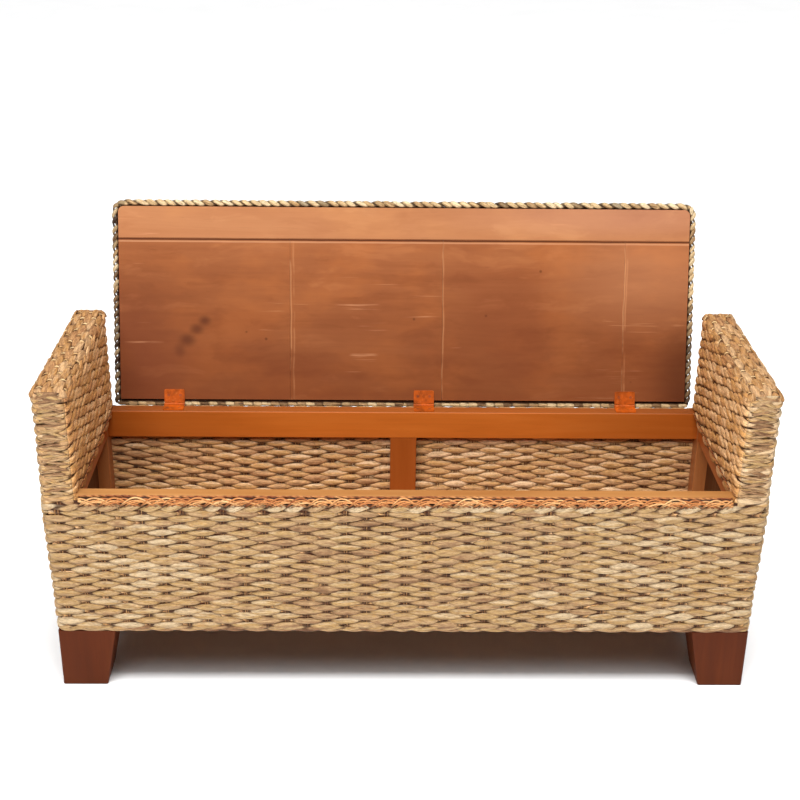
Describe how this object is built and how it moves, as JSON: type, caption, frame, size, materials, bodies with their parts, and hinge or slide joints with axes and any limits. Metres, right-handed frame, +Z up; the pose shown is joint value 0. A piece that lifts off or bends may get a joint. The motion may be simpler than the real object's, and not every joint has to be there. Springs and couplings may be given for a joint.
{
  "type": "ottoman with storage",
  "caption": "Woven storage bench ottoman with two low arms, tapered block feet and a back-hinged lid that stands open over a deep storage box.",
  "frame": {"origin": "centre of the bench's footprint box on the floor, with the lid standing open", "axes": "+X along the bench's width, +Y from the front towards the hinged back, +Z up"},
  "size_m": [1.3, 0.5542, 0.7958],
  "materials": {
    "outer_weave": "woven water hyacinth, matt",
    "inner_weave": "woven water hyacinth, matt, darker",
    "border_braid": "braided plant cord",
    "lid_edge_weave": "twisted plant rope",
    "lid_boards": "satin reddish brown stain",
    "lid_frame": "raw softwood",
    "stained_rail": "satin orange brown stain",
    "frame_wood": "stained softwood",
    "plywood": "dark stained plywood",
    "foot_wood": "satin dark brown",
    "hinge_steel": "stained over with the rail",
    "screws": "dull zinc"
  },
  "bodies": {
    "base": {"arm_border_braids": "border_braid", "arm_rails": "frame_wood", "back_bottom_rail": "frame_wood", "back_center_post": "stained_rail", "back_left_foot": "foot_wood", "back_left_post": "frame_wood", "back_right_foot": "foot_wood", "back_right_post": "frame_wood", "back_top_rail": "stained_rail", "back_weave": "inner_weave", "center_hinge_rail_leaf": "hinge_steel", "floor_panel": "plywood", "floor_slats": "frame_wood", "foot_bolts": "screws", "front_border_braid": "border_braid", "front_bottom_rail": "frame_wood", "front_center_post": "frame_wood", "front_left_foot": "foot_wood", "front_left_post": "frame_wood", "front_right_foot": "foot_wood", "front_right_post": "frame_wood", "front_top_rail": "stained_rail", "front_weave": "outer_weave", "hinge_pins": "screws", "hinge_rail_screws": "screws", "left_arm_back_weave": "outer_weave", "left_arm_front_weave": "outer_weave", "left_arm_inner_weave": "inner_weave", "left_arm_top_weave": "outer_weave", "left_bottom_rail": "frame_wood", "left_hinge_rail_leaf": "hinge_steel", "left_seat_rail": "stained_rail", "left_side_panel": "plywood", "left_side_weave": "outer_weave", "right_arm_back_weave": "outer_weave", "right_arm_front_weave": "outer_weave", "right_arm_inner_weave": "inner_weave", "right_arm_top_weave": "outer_weave", "right_bottom_rail": "frame_wood", "right_hinge_rail_leaf": "hinge_steel", "right_seat_rail": "stained_rail", "right_side_panel": "plywood", "right_side_weave": "outer_weave"},
    "lid": {"center_hinge_lid_leaf": "hinge_steel", "hinge_lid_screws": "screws", "left_hinge_lid_leaf": "hinge_steel", "lid_back_edge_weave": "lid_edge_weave", "lid_back_rail": "lid_frame", "lid_cross_rails": "lid_frame", "lid_front_board": "lid_boards", "lid_front_edge_weave": "lid_edge_weave", "lid_front_rail": "lid_frame", "lid_left_edge_weave": "lid_edge_weave", "lid_panel_1": "lid_boards", "lid_panel_2": "lid_boards", "lid_panel_3": "lid_boards", "lid_panel_4": "lid_boards", "lid_right_edge_weave": "lid_edge_weave", "lid_top_weave": "outer_weave", "right_hinge_lid_leaf": "hinge_steel"}
  },
  "joints": [
    {"name": "lid_hinge", "type": "hinge", "parent": "base", "child": "lid", "pos_m": [0, 0.11209, 0.40825], "axis": [1, 0, 0], "range_deg": [0, 108.4]}
  ]
}
